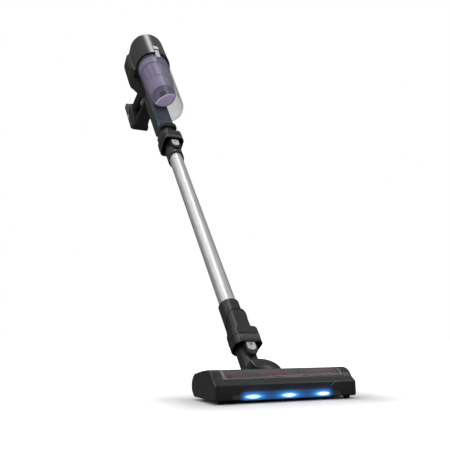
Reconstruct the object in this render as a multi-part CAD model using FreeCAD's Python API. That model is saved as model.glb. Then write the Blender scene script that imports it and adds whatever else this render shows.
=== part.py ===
import FreeCAD, Part
import math
import os

V = FreeCAD.Vector

# Cordless stick vacuum, millimetres, +Z up, front (lamps) towards -Y, X = 0 is the symmetry plane.
# The origin lies on the floor, in the middle of the felt strip under the floor head.
# The floor head, brush and wheels are drawn in this frame. Everything on the stick is drawn
# upright in a stick frame (x, y towards the user's side, z along the stick) and then leaned back.

# ---- driving dimensions: stick -------------------------------------------------------------
LEAN = 40.2                     # lean of the stick from the vertical, degrees
STICK_BASE = V(0, 59.6, 34.0)   # point of the floor frame where stick z = 0
TUBE_R = 16.5                   # aluminium tube, outside radius
TUBE_WALL = 1.2
TUBE_FROM = 142.0
TUBE_TO = 666.0
SPIGOT_R = 16.0                 # plug-in ends of neck and wand
SOCKET_R = 16.4                 # sockets that take them
AIRWAY_R = 13.5
WALL = 2.5                      # moulded shell thickness

# ---- driving dimensions: floor head --------------------------------------------------------
HEAD_HALF_W = 125.0
FRONT_Y = -65.0                 # front face
REAR_Y = 32.0                   # rearmost line
SOLE_Z = 5.0                    # underside of the sole plate
SPLIT_Z = 18.0                  # joint line between base and cover
BRUSH_Y = FRONT_Y + 33.0
BRUSH_Z = 24.0
BRUSH_R = 22.5                  # bristle tips
WINDOW_R = 25.0                 # outside of the arched window over the brush
CAP_X = 117.0                   # inner side of the end caps
HEAD_EDGE_R = 4.0               # rounding of the profile's corners
CAP_EDGE_R = 3.0                # rounding round the outer face of the end caps
TILT_Y = 42.0                   # hinge line of the tilting joint
TILT_Z = 33.5
YOKE_R = 28.0                   # barrel of the tilting joint: radius and half length
YOKE_HALF = 47.4
SWIVEL_S = -2.0                 # stick height of the side-to-side swivel pin
SWIVEL_RANGE = 35.0             # degrees to either side
KNUCKLE_R = 18.0                # round lower end of the neck and half its depth
KNUCKLE_HALF = 17.0
STEM_R = 17.5
YOKE_END = 45.0                  # flat ends of the barrel
BAY_HALF = 46.5                  # inner faces of the two hinge ears
PIN_R = 6.0
DUCT_R = 11.5                    # air duct through the barrel
DUCT_Z = 26.0
WHEEL_FRONT_R = 6.5
WHEEL_REAR_R = 12.0
FRONT_WHEEL = (112.0, FRONT_Y + 11.0)   # x and y of the axles
REAR_WHEEL = (76.0, REAR_Y - 16.0)
WINDOW_X = 108.0
WINDOW_Y1 = BRUSH_Y + 14.0
MOTOR_X = 60.0                   # brush motor, inner end
MOTOR_R = 9.5
PULLEY_Y = 2.0
PULLEY_Z = 31.0
PULLEY_R = 5.0
BRUSH_PULLEY_R = 12.5
BELT_X = (108.5, 112.5)

# ---- driving dimensions: hand unit (stick frame) --------------------------------------------
CUP_Y = -50.0                   # dust cup axis
CUP_TOP = 1036.0
CUP_BOTTOM = 806.0
CUP_R_TOP = 45.5
CUP_R_BOTTOM = 41.0
HOUSING_R = 49.0
HOUSING_Y = -51.0
HOUSING_FROM = 1038.0
HOUSING_TO = 1172.0
HOUSING_BACK = 29.0
REAR_HALF_W = 58.0              # rear housing, wider than the dome cover
HOUSING_SEAM = -42.0            # joint between dome cover and rear housing
SPINE_HALF_W = 22.0
SPINE_FRONT = -12.0
SPINE_BACK = 20.0
LEDGE_TO = 778.0                # top of the nozzle ledge, foot of the spine
HINGE_Y = -9.0                  # foot hinge of the dust container
HINGE_Z = 803.0
HINGE_R = 2.2
GRIP_HALF_W = 19.0
BASE_FROM = 1003.0
BASE_TO = 1105.0
FOOT_FROM = 1005.0
FOOT_TO = 1139.0
FOOT_Y = 129.5                  # joint between handle base and battery foot
FOOT_BACK = 141.0
GRIP_LINE = (14.0, 1041.3, 122.0, 1083.3)   # centre line of the grip: y, z of both ends
TRIGGER_AT = (50.0, 1040.5)     # y, z of the trigger on the inner side of the grip
FIT = 0.4                       # gap round moving pieces

os.makedirs("parts", exist_ok=True)


# ---- helpers ---------------------------------------------------------------------------------
def save(name, shape):
    shape.exportStep("parts/" + name + ".step")


def box(x0, x1, y0, y1, z0, z1):
    return Part.makeBox(x1 - x0, y1 - y0, z1 - z0, V(x0, y0, z0))


def rod(radius, z0, z1, y=0.0, x=0.0):
    return Part.makeCylinder(radius, z1 - z0, V(x, y, z0))


def ring(outer, inner, z0, z1, y=0.0):
    return rod(outer, z0, z1, y).cut(rod(inner, z0 - 1, z1 + 1, y))


def cone(r0, r1, z0, z1, y=0.0):
    return Part.makeCone(r0, r1, z1 - z0, V(0, y, z0))


def rod_x(radius, x0, x1, y, z):
    return Part.makeCylinder(radius, x1 - x0, V(x0, y, z), V(1, 0, 0))


def ring_x(outer, inner, x0, x1, y, z):
    return rod_x(outer, x0, x1, y, z).cut(rod_x(inner, x0 - 1, x1 + 1, y, z))


def fuse(*shapes):
    return shapes[0].multiFuse(list(shapes[1:])).removeSplitter()


def outline_xy(half_w, front, back, r_front, r_back, z):
    """Rounded outline in a plane z, with its own corner radius at the front and at the back."""
    k = math.sqrt(0.5)
    corners = [(-half_w, front, 1, 1, r_front), (half_w, front, -1, 1, r_front),
               (half_w, back, -1, -1, r_back), (-half_w, back, 1, -1, r_back)]
    arcs = []
    for index, (cx, cy, sx, sy, r) in enumerate(corners):
        centre = V(cx + sx * r, cy + sy * r, z)
        on_side = V(cx, centre.y, z)
        on_end = V(centre.x, cy, z)
        middle = centre - V(sx * r * k, sy * r * k, 0)
        ends = (on_side, on_end) if index % 2 == 0 else (on_end, on_side)
        arcs.append((ends[0], middle, ends[1]))
    edges = []
    for index, (start, middle, end) in enumerate(arcs):
        edges.append(Part.Arc(start, middle, end).toShape())
        following = arcs[(index + 1) % 4][0]
        if end.distanceToPoint(following) > 1e-6:
            edges.append(Part.LineSegment(end, following).toShape())
    return Part.Wire(edges)


def prism(half_w, front, back, r_front, r_back, z0, z1):
    wire = outline_xy(half_w, front, back, r_front, r_back, z0)
    return Part.Face(wire).extrude(V(0, 0, z1 - z0))


def edges_at(shape, z):
    return [e for e in shape.Edges if abs(e.BoundBox.ZMin - z) < 0.01 and abs(e.BoundBox.ZMax - z) < 0.01]


def along(shape, direction, start):
    """Moves a shape drawn up the Z axis so that Z points along a direction of the YZ plane."""
    angle = -math.degrees(math.atan2(direction.y, direction.z))
    placed = shape.copy()
    placed.rotate(V(0, 0, 0), V(1, 0, 0), angle)
    placed.translate(start)
    return placed


def lean(shape):
    """Stick frame to floor frame."""
    placed = shape.copy()
    placed.rotate(V(0, 0, 0), V(1, 0, 0), -LEAN)
    placed.translate(STICK_BASE)
    return placed


def save_stick(name, shape):
    save(name, lean(shape))


# ---- floor head ------------------------------------------------------------------------------
def head_solid(inset, x0, x1):
    """Side profile of the head between two x planes, shrunk by an inset on every face."""
    radius = WINDOW_R - inset
    front = FRONT_Y + inset
    sole = SOLE_Z + inset
    lip_z = 35.0
    lip_y = BRUSH_Y - math.sqrt(radius ** 2 - (lip_z - BRUSH_Z) ** 2)
    top_y = BRUSH_Y + 3.0
    top_z = BRUSH_Z + math.sqrt(radius ** 2 - 9.0)
    middle = 0.5 * (math.atan2(lip_z - BRUSH_Z, lip_y - BRUSH_Y) + math.atan2(top_z - BRUSH_Z, 3.0))
    arch_mid = V(x0, BRUSH_Y + radius * math.cos(middle), BRUSH_Z + radius * math.sin(middle))
    points = [V(x0, front, sole), V(x0, front + 0.5, 28.5 - inset * 0.5), V(x0, lip_y, lip_z)]
    edges = [Part.LineSegment(a, b).toShape() for a, b in zip(points, points[1:])]
    top = V(x0, top_y, top_z)
    step = V(x0, FRONT_Y + 56.0, 46.5 - inset)
    back_top = V(x0, REAR_Y - 12.0, 41.0 - inset)
    back_mid = V(x0, REAR_Y - 1.2 - inset, 30.0)
    back_low = V(x0, REAR_Y - 2.0 - inset, sole + 8.0)
    sole_back = V(x0, REAR_Y - 10.0, sole)
    edges.append(Part.Arc(points[-1], arch_mid, top).toShape())
    edges.append(Part.LineSegment(top, step).toShape())
    edges.append(Part.LineSegment(step, back_top).toShape())
    edges.append(Part.Arc(back_top, back_mid, back_low).toShape())
    edges.append(Part.LineSegment(back_low, sole_back).toShape())
    edges.append(Part.LineSegment(sole_back, points[0]).toShape())
    body = Part.Face(Part.Wire(edges)).extrude(V(x1 - x0, 0, 0))
    if inset > 0:
        return body
    return body.makeFillet(HEAD_EDGE_R, [e for e in body.Edges if e.BoundBox.XLength > 5]).Solids[0]


def yoke_barrel(grow):
    """Rounded barrel about the hinge line, made from an ellipse turned about X."""
    centre = V(0, TILT_Y, TILT_Z)
    ellipse = Part.Ellipse(centre, YOKE_HALF + grow, YOKE_R + grow)
    arc = Part.ArcOfEllipse(ellipse, 0, math.pi).toShape()
    reach = V(YOKE_HALF + grow, 0, 0)
    chord = Part.LineSegment(centre + reach, centre - reach).toShape()
    half = Part.Face(Part.Wire([arc, chord]))
    return half.revolve(centre, V(1, 0, 0), 360)


BRUSH_TUNNEL = rod_x(BRUSH_R + 1.0, -CAP_X + 3.0, CAP_X - 3.0, BRUSH_Y, BRUSH_Z)


def wheel_wells():
    wells = []
    for side in (-1, 1):
        x = side * FRONT_WHEEL[0]
        wells.append(rod_x(WHEEL_FRONT_R + 1.2, x - 4.2, x + 4.2, FRONT_WHEEL[1], WHEEL_FRONT_R))
        x = side * REAR_WHEEL[0]
        wells.append(rod_x(WHEEL_REAR_R + 1.2, x - 6.2, x + 6.2, REAR_WHEEL[1], WHEEL_REAR_R))
    return wells[0].multiFuse(wells[1:])


def rod_y(radius, y0, y1, z):
    return Part.makeCylinder(radius, y1 - y0, V(0, y0, z), V(0, 1, 0))


def hinge_ears():
    """Two ears behind the head that carry the trunnions of the tilting barrel."""
    ears = []
    for x0 in (-BAY_HALF - 10.5, BAY_HALF):
        web = box(x0, x0 + 10.5, REAR_Y - 14.0, TILT_Y, TILT_Z - 9.5, TILT_Z + 9.5)
        ears.append(web.fuse(rod_x(9.5, x0, x0 + 10.5, TILT_Y, TILT_Z)))
    return ears


def head_shell():
    outer = head_solid(0.0, -CAP_X, CAP_X)
    inner = head_solid(WALL, -CAP_X + WALL, CAP_X - WALL)
    bay_wall = outer.common(yoke_barrel(3.2))
    tunnel_wall = rod_x(BRUSH_R + 2.6, -104, 104, BRUSH_Y, BRUSH_Z)
    tunnel_wall = outer.common(tunnel_wall.common(box(-104, 104, BRUSH_Y, REAR_Y, 0, 80)))
    shell = outer.cut(inner).fuse(bay_wall).fuse(tunnel_wall)
    for ear in hinge_ears():
        shell = shell.fuse(ear)
    shell = shell.cut(yoke_barrel(1.0))
    trunnions = rod_x(PIN_R + 0.05, -BAY_HALF - 7, BAY_HALF + 7, TILT_Y, TILT_Z)
    bearing_bores = rod_x(8.05, -CAP_X - 1, CAP_X + 1, BRUSH_Y, BRUSH_Z)
    return shell.cut(trunnions).cut(BRUSH_TUNNEL).cut(bearing_bores).cut(rod_y(DUCT_R, -14, 24, DUCT_Z))


def build_head():
    shell = head_shell()
    opening = box(-104, 104, BRUSH_Y - 24.0, BRUSH_Y + 22.0, -5, SOLE_Z + WALL + 3)
    below = box(-200, 200, -200, 200, -20, SPLIT_Z)
    above = box(-200, 200, -200, 200, SPLIT_Z, 200)
    window_cut = box(-WINDOW_X, WINDOW_X, BRUSH_Y - 40.0, WINDOW_Y1, 35.6, 90)
    wells = wheel_wells()
    lamp_slot = box(-96, 96, FRONT_Y - 1, FRONT_Y + WALL + 2, 6.6, 14.8)
    screws = [rod(2.6, SOLE_Z + 0.2, SOLE_Z + 2.4, y, x) for x in (-100, 100) for y in (8.0, 22.0)]
    screw_holes = [rod(2.65, SOLE_Z - 1, SOLE_Z + 4, y, x) for x in (-100, 100) for y in (8.0, 22.0)]
    base = shell.common(below).cut(opening).cut(wells).cut(lamp_slot)
    base = base.cut(box(-92, 92, -3.2, 3.2, -1, SOLE_Z + 1.2))
    base = largest(base.cut(screw_holes[0].multiFuse(screw_holes[1:])))
    cover = largest(shell.common(above).cut(window_cut).cut(wells))
    save("head_base", base)
    save("head_cover", cover)
    skin = ring_x(WINDOW_R - 0.1, WINDOW_R - 1.7, -WINDOW_X + 0.2, WINDOW_X - 0.2, BRUSH_Y, BRUSH_Z)
    window = skin.common(box(-WINDOW_X, WINDOW_X, BRUSH_Y - 40.0, WINDOW_Y1 - 0.2, 35.8, 90))
    save("brush_window", largest(window))
    save("sole_felt", box(-90, 90, -3.0, 3.0, 0.0, SOLE_Z + 1.0))
    for name, side in (("end_cap_left", -1), ("end_cap_right", 1)):
        save(name, end_cap(side))
    save("led_board", box(-94, 94, FRONT_Y + 4.4, FRONT_Y + 5.8, 8.0, 17.6))
    save("led_lens", lamp_lens())
    save("sole_screws", Part.Compound(screws))


def largest(shape):
    return max(shape.Solids, key=lambda s: s.Volume)


def lamp_lens():
    """Clear lamp strip with three bulging lenses, set in the front face."""
    strip = box(-95.6, 95.6, FRONT_Y + 1.0, FRONT_Y + 3.6, 7.0, 14.4)
    bulges = []
    for x in (-62.0, 0.0, 62.0):
        lens = Part.makeSphere(60.0, V(x, FRONT_Y + 60.2, 10.7))
        bulges.append(lens.common(box(x - 20, x + 20, FRONT_Y - 1, FRONT_Y + 1.6, 7.0, 14.4)))
    return fuse(strip, *bulges)


def end_cap(side):
    x0, x1 = (CAP_X + 0.15, HEAD_HALF_W) if side > 0 else (-HEAD_HALF_W, -CAP_X - 0.15)
    cap = head_solid(0.0, x0, x1)
    outer_x = side * HEAD_HALF_W
    rim = [e for e in cap.Edges if abs(e.BoundBox.Center.x - outer_x) < 0.01]
    cap = cap.makeFillet(CAP_EDGE_R, rim).Solids[0]
    pocket = rod_x(8.2, -CAP_X - 3.0, CAP_X + 3.0, BRUSH_Y, BRUSH_Z)
    x = side * FRONT_WHEEL[0]
    well = rod_x(WHEEL_FRONT_R + 1.2, x - 4.2, x + 4.2, FRONT_WHEEL[1], WHEEL_FRONT_R)
    return cap.cut(pocket).cut(well)


def build_wheels():
    for label, side in (("left", -1), ("right", 1)):
        x = side * FRONT_WHEEL[0]
        tread = ring_x(WHEEL_FRONT_R, 1.6, x - 3.0, x + 3.0, FRONT_WHEEL[1], WHEEL_FRONT_R)
        save("front_wheel_" + label, tread)
        x = side * REAR_WHEEL[0]
        tread = rod_x(WHEEL_REAR_R, x - 5.0, x + 5.0, REAR_WHEEL[1], WHEEL_REAR_R)
        rim = [e for e in tread.Edges if e.Length > 40]
        tread = tread.makeFillet(1.5, rim).cut(rod_x(2.1, x - 9, x + 9, REAR_WHEEL[1], WHEEL_REAR_R))
        save("rear_wheel_" + label, tread)
    axles = []
    for side in (-1, 1):
        x = side * FRONT_WHEEL[0]
        axles.append(rod_x(1.55, x - 4.2, x + 4.2, FRONT_WHEEL[1], WHEEL_FRONT_R))
        x = side * REAR_WHEEL[0]
        axles.append(rod_x(2.05, x - 6.2, x + 6.2, REAR_WHEEL[1], WHEEL_REAR_R))
    save("wheel_axles", Part.Compound(axles))


def helix_band(turns, start_deg, radius_in, radius_out, width, x0, x1):
    """One bristle row: short overlapping blocks along a screw line round the brush core."""
    steps = 36
    pitch = (x1 - x0) / steps
    blocks = []
    for i in range(steps):
        block = box(x0 + i * pitch, x0 + (i + 1) * pitch, -width / 2, width / 2, radius_in, radius_out)
        block.rotate(V(0, 0, 0), V(1, 0, 0), start_deg + 360.0 * turns * i / steps)
        block.translate(V(0, BRUSH_Y, BRUSH_Z))
        blocks.append(block)
    return blocks[0].multiFuse(blocks[1:])


def build_brush():
    core = rod_x(14.5, -102, 102, BRUSH_Y, BRUSH_Z)
    hub = rod_x(5.0, -116.6, 116.6, BRUSH_Y, BRUSH_Z)
    pulley = rod_x(BRUSH_PULLEY_R, BELT_X[0] - 0.5, BELT_X[1] + 0.5, BRUSH_Y, BRUSH_Z)
    core = fuse(core, hub, pulley)
    red = [helix_band(0.75, a, 13.0, BRUSH_R, 3.2, -101, 101) for a in (0, 120, 240)]
    dark = [helix_band(0.75, a, 13.0, BRUSH_R - 0.5, 2.4, -101, 101) for a in (60, 180, 300)]
    red = red[0].multiFuse(red[1:])
    dark = dark[0].multiFuse(dark[1:])
    save("brush_core", core.cut(red).cut(dark))
    save("bristles_red", red)
    save("bristles_dark", dark)
    sleeves = []
    for x0, x1 in ((-116.9, -114.2), (114.2, 116.9)):
        sleeves.append(ring_x(8.0, 5.05, x0, x1, BRUSH_Y, BRUSH_Z))
    save("brush_bearings", Part.Compound(sleeves))


def belt_loop(grow, x0, x1):
    """Outline of the belt: two circles and their outer tangents."""
    span = V(0, PULLEY_Y - BRUSH_Y, PULLEY_Z - BRUSH_Z)
    heading = math.atan2(span.z, span.y)
    opening = math.acos((BRUSH_PULLEY_R - PULLEY_R) / span.Length)
    corners = []
    wheels = ((BRUSH_Y, BRUSH_Z, BRUSH_PULLEY_R, (1, -1)), (PULLEY_Y, PULLEY_Z, PULLEY_R, (-1, 1)))
    for y, z, radius, sides in wheels:
        for side in sides:
            angle = heading + side * opening
            reach = radius + grow
            corners.append(V(x0, y + reach * math.cos(angle), z + reach * math.sin(angle)))
    middle = Part.Face(Part.makePolygon(corners + corners[:1])).extrude(V(x1 - x0, 0, 0))
    large = rod_x(BRUSH_PULLEY_R + grow, x0, x1, BRUSH_Y, BRUSH_Z)
    small = rod_x(PULLEY_R + grow, x0, x1, PULLEY_Y, PULLEY_Z)
    return large.multiFuse([small, middle])


def build_brush_drive():
    body = rod_x(MOTOR_R, MOTOR_X, MOTOR_X + 42.0, PULLEY_Y, PULLEY_Z)
    body = body.cut(rod_x(2.1, MOTOR_X + 30.0, MOTOR_X + 50.0, PULLEY_Y, PULLEY_Z))
    save("brush_motor", body)
    shaft = rod_x(2.0, MOTOR_X + 32.0, BELT_X[1] + 0.5, PULLEY_Y, PULLEY_Z)
    wheel = rod_x(PULLEY_R, BELT_X[0] - 0.5, BELT_X[1] + 0.5, PULLEY_Y, PULLEY_Z)
    save("motor_pulley", fuse(shaft, wheel))
    save("drive_belt", belt_loop(1.0, *BELT_X).cut(belt_loop(0.1, BELT_X[0] - 1, BELT_X[1] + 1)))


# ---- tilting joint and neck -------------------------------------------------------------------
# bosses: lower and upper end, front, half width; buttons: the same with the back before the width
NECK_BOSS = (24.0, 58.0, -26.4, 10.6)
NECK_BUTTON = (31.5, 57.0, -28.0, -19.8, 8.0)
WAND_BOSS = (668.0, 704.0, -24.4, 11.5)
WAND_BUTTON = (675.0, 698.4, -26.2, -18.4, 8.6)
SHELF_Z = 42.5                   # the barrel's left half is cut down to this height beside the lobe
SWIVEL_PIN = (7.0, -27.0)        # radius and front end of the swivel pin


def swivel_fan():
    """Room in the barrel for the knuckle and for the neck swinging from side to side."""
    radius = KNUCKLE_R + 0.5
    turn = math.radians(SWIVEL_RANGE)
    low = V(radius * math.cos(turn), -STEM_R - 0.5, SWIVEL_S - radius * math.sin(turn))
    high = low + V(math.sin(turn), 0, math.cos(turn)) * 70.0
    corners = [low, high, V(-high.x, high.y, high.z), V(-low.x, low.y, low.z), low]
    fan = Part.Face(Part.makePolygon(corners)).extrude(V(0, 90, 0))
    seat = Part.makeCylinder(radius, 90.0, V(0, -STEM_R - 0.5, SWIVEL_S), V(0, 1, 0))
    return lean(fan.fuse(seat))


def build_yoke():
    barrel = yoke_barrel(0.0).common(box(-YOKE_END, YOKE_END, -60, 120, -20, 120))
    trunnions = rod_x(PIN_R, -BAY_HALF - 6.5, BAY_HALF + 6.5, TILT_Y, TILT_Z)
    radius, reach = SWIVEL_PIN
    pin_bore = lean(Part.makeCylinder(radius + 0.05, 20.0, V(0, reach - 0.3, SWIVEL_S), V(0, 1, 0)))
    shelf = box(-YOKE_END - 1, 0, -60, 120, SHELF_Z, 120)
    lobe = lean(Part.makeCylinder(17.5, 120.0, V(0, -80, SWIVEL_S), V(0, 1, 0)))
    barrel = fuse(barrel.cut(shelf.cut(lobe)), trunnions).cut(swivel_fan())
    save("tilt_barrel", largest(barrel.cut(rod_y(DUCT_R, 0, 50, DUCT_Z)).cut(pin_bore)))
    hose = rod_y(DUCT_R - 0.05, 10, 32, DUCT_Z).cut(rod_y(DUCT_R - 1.5, 9, 33, DUCT_Z))
    save("joint_hose", largest(hose.common(rod_x(YOKE_R - 2.0, -20, 20, TILT_Y, TILT_Z))))


def boss(z0, z1, front, half_w):
    """Raised pad on the front of a tube, rounded below, that carries a release button."""
    pad = box(-half_w, half_w, front, 0, z0 + half_w, z1)
    heel = Part.makeCylinder(half_w, -front, V(0, front, z0 + half_w), V(0, 1, 0))
    return pad.fuse(heel)


def button(z0, z1, front, back, half_w):
    """Tongue-shaped release button with a finger dimple."""
    pad = box(-half_w, half_w, front, back, z0 + half_w, z1)
    heel = Part.makeCylinder(half_w, back - front, V(0, front, z0 + half_w), V(0, 1, 0))
    dimple = Part.makeSphere(9.0, V(0, front - 7.6, z0 + half_w))
    hole = Part.makeCylinder(1.4, 1.2, V(0, front, z1 - 4.0), V(0, 1, 0))
    return pad.fuse(heel).cut(dimple).cut(hole)


def button_pocket(spec):
    z0, z1, front, back, half_w = spec
    pad = box(-half_w - FIT, half_w + FIT, front - 5, back + 2.6, z0 + half_w, z1 + 3.0)
    heel = Part.makeCylinder(half_w + FIT, back + 7.6 - front, V(0, front - 5, z0 + half_w), V(0, 1, 0))
    return pad.fuse(heel)


def build_neck():
    radius, reach = SWIVEL_PIN
    knuckle = Part.makeCylinder(KNUCKLE_R, 2 * KNUCKLE_HALF, V(0, -KNUCKLE_HALF, SWIVEL_S), V(0, 1, 0))
    pin = Part.makeCylinder(radius, -reach, V(0, reach, SWIVEL_S), V(0, 1, 0))
    stem = rod(STEM_R, SWIVEL_S, 58.0)
    spigot = rod(SPIGOT_R, 58.0, 130.0)
    solid = fuse(knuckle, pin, stem, spigot, boss(*NECK_BOSS))
    solid = solid.cut(rod(AIRWAY_R, SWIVEL_S - 30.0, 140.0)).cut(button_pocket(NECK_BUTTON))
    save_stick("neck_tube", largest(solid))
    save_stick("neck_button", button(*NECK_BUTTON))
    save_stick("neck_contacts", Part.Compound([rod(1.2, 130.2, 136.0, 14.4, x) for x in (-3, 3)]))


# ---- wand -------------------------------------------------------------------------------------
def bell(half_w, front, back, corners, z0, z1, skirt_in, bore):
    """Hood that opens downwards: a rounded skirt with a round socket above it."""
    r_front, r_back = corners
    hood = prism(half_w, front, back, r_front, r_back, z0, z1)
    hood = hood.makeFillet(4.0, edges_at(hood, z1))
    inner_back = min(r_back, half_w - 0.01) - WALL
    hollow = prism(half_w - WALL, front + WALL, back - WALL, r_front - 1.5, inner_back, z0 - 1, skirt_in)
    return hood.cut(hollow).cut(rod(bore, z0 - 1, z1 + 1))


def rib_cutters(front, z0, z1, count, pitch):
    cutters = []
    for i in range(count):
        x = (i - (count - 1) / 2.0) * pitch
        cutters.append(box(x - pitch * 0.22, x + pitch * 0.22, front - 1, front + 1.2, z0, z1))
    return cutters[0].multiFuse(cutters[1:])


def sloped_space(angle, y, z, side):
    """Half space above (side 1) or below (side -1) a plane through (y, z) that slopes about X."""
    space = box(-80, 80, -150, 150, 0, 150) if side > 0 else box(-80, 80, -150, 150, -150, 0)
    space.rotate(V(0, 0, 0), V(1, 0, 0), angle)
    space.translate(V(0, y, z))
    return space


def build_wand():
    save_stick("wand_tube", ring(TUBE_R, TUBE_R - TUBE_WALL, TUBE_FROM, TUBE_TO))
    hood = bell(27.5, -31.0, 20.5, (13.0, 27.49), 40.0, 85.0, 79.0, SOCKET_R)
    hood = hood.cut(sloped_space(6.0, -30.0, 48.5, -1)).cut(rib_cutters(-31.0, 38.0, 66.0, 15, 3.0))
    tongue = prism(21.0, -25.0, 20.4, 15.0, 20.3, 82.0, 132.0).cut(sloped_space(-50.0, -25.0, 129.0, 1))
    collar = rod(20.2, 82.0, 161.0)
    collar = collar.makeFillet(1.6, edges_at(collar, 161.0))
    socket = rod(SOCKET_R, 76.0, 136.4).fuse(rod(AIRWAY_R, 130.0, 150.0)).fuse(rod(TUBE_R, TUBE_FROM, 170.0))
    joint = fuse(tongue, collar)
    save_stick("wand_hood", largest(hood.cut(joint)))
    save_stick("wand_lower_collar", largest(joint.cut(socket)))
    collar = rod(20.5, 630.0, 681.0)
    collar = collar.makeFillet(1.6, edges_at(collar, 681.0)).cut(sloped_space(-23.5, -20.5, 656.0, -1))
    spigot = rod(SPIGOT_R, 660.0, 750.0)
    bore = rod(TUBE_R, 610.0, TUBE_TO).fuse(rod(AIRWAY_R, 610.0, 760.0))
    upper = fuse(collar, spigot, boss(*WAND_BOSS)).cut(bore)
    save_stick("wand_upper_collar", largest(upper.cut(button_pocket(WAND_BUTTON))))
    save_stick("wand_button", button(*WAND_BUTTON))
    save_stick("wand_conduit", box(-4.0, 4.0, 10.6, 14.6, TUBE_FROM + 0.2, TUBE_TO - 0.2))
    save_stick("wand_contacts", Part.Compound([rod(1.2, 750.2, 755.0, 14.6, x) for x in (-3, 3)]))


# ---- hand unit ----------------------------------------------------------------------------------
def shoulder_block(y0, y1, z0, z1):
    """Front view of spine and shoulders: a narrow spine that swells to the housing's width."""
    narrow = 975.0
    wide = 1062.0
    right = [V(SPINE_HALF_W, y0, 700.0), V(SPINE_HALF_W, y0, narrow), V(38.5, y0, 1008.0),
             V(REAR_HALF_W, y0, wide), V(REAR_HALF_W, y0, 1300.0)]
    left = [V(-p.x, y0, p.z) for p in right]
    edges = [Part.LineSegment(right[0], right[1]).toShape(), Part.Arc(right[1], right[2], right[3]).toShape(),
             Part.LineSegment(right[3], right[4]).toShape(), Part.LineSegment(right[4], left[4]).toShape(),
             Part.LineSegment(left[4], left[3]).toShape(), Part.Arc(left[3], left[2], left[1]).toShape(),
             Part.LineSegment(left[1], left[0]).toShape(), Part.LineSegment(left[0], right[0]).toShape()]
    body = Part.Face(Part.Wire(edges)).extrude(V(0, y1 - y0, 0))
    return body.common(box(-80, 80, y0 - 1, y1 + 1, z0, z1))


def build_nozzle():
    hood = bell(26.0, -32.0, 28.5, (12.0, 12.0), 701.0, 738.0, 730.0, SOCKET_R)
    heel = prism(23.0, 2.0, 26.5, 4.0, 11.0, 732.0, 764.0)
    heel = heel.makeFillet(5.0, edges_at(heel, 764.0))
    neck = fuse(rod(21.5, 734.0, 766.0), heel)
    ledge = prism(22.0, -27.0, SPINE_BACK, 9.0, 9.0, 764.0, LEDGE_TO)
    ledge = ledge.makeFillet(2.5, edges_at(ledge, 764.0))
    bore = rod(SOCKET_R, 690.0, 757.0).fuse(rod(AIRWAY_R, 750.0, 790.0))
    nozzle = fuse(hood, neck, ledge).cut(bore)
    save_stick("nozzle", largest(nozzle.cut(rib_cutters(-32.0, 700.0, 716.0, 13, 3.2))))


def build_spine():
    spine = shoulder_block(SPINE_FRONT, SPINE_BACK, LEDGE_TO, HOUSING_FROM - 0.2)
    cup_room = cone(CUP_R_BOTTOM + 1.2, CUP_R_TOP + 1.2, CUP_BOTTOM, CUP_TOP, CUP_Y)
    cup_room = cup_room.fuse(rod(CUP_R_BOTTOM + 1.2, CUP_BOTTOM - 3, CUP_BOTTOM + 0.1, CUP_Y))
    cup_room = cup_room.fuse(rod(CUP_R_TOP + 1.2, CUP_TOP - 0.1, CUP_TOP + 5, CUP_Y))
    channel = box(-17.0, 17.0, 0.5, 16.5, LEDGE_TO + 2, 992.0)
    mouth = rod(AIRWAY_R, LEDGE_TO - 5, LEDGE_TO + 3)
    inlet = box(-12.0, 12.0, -20.0, 6.0, 965.0, 990.0)
    spine = spine.cut(cup_room).cut(channel).cut(mouth).cut(inlet)
    seat = rod_x(HINGE_R + 0.3, -9.0, 9.0, HINGE_Y, HINGE_Z)
    seat = seat.fuse(box(-9.0, 9.0, -40.0, HINGE_Y, HINGE_Z - 4.5, HINGE_Z + 5.0))
    save_stick("air_spine", largest(spine.cut(seat)))


def housing_solid(inset):
    """Dome in front of the seam, wider rear housing behind it, both with a rounded top."""
    top = HOUSING_TO - inset
    low = HOUSING_FROM + inset
    half = HOUSING_R + 0.5 - inset
    dome = prism(half, HOUSING_Y - half, 20.0, half - 0.01, 10.0, low, top)
    dome = dome.makeFillet(22.0 - inset, edges_at(dome, top))
    wide = REAR_HALF_W - inset
    rear_top = top - 22.0
    rear = prism(wide, -36.0 + inset, HOUSING_BACK - inset, 13.0, 26.0 - inset, low, rear_top)
    rear = rear.makeFillet(12.0 - inset, edges_at(rear, rear_top))
    rear = rear.common(shoulder_block(-60.0, 60.0, 0, 1300))
    if inset > 0:
        rear = rear.common(lowered_shoulders(inset))
    return dome.common(box(-80, 80, -120, 8.0, 0, 1300)).fuse(rear)


def lowered_shoulders(inset):
    """Shoulder outline moved inwards, for the inside of the shell."""
    block = shoulder_block(-60.0, 60.0, 0, 1300)
    block.translate(V(0, 0, 2.0 * inset))
    return block


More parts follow.
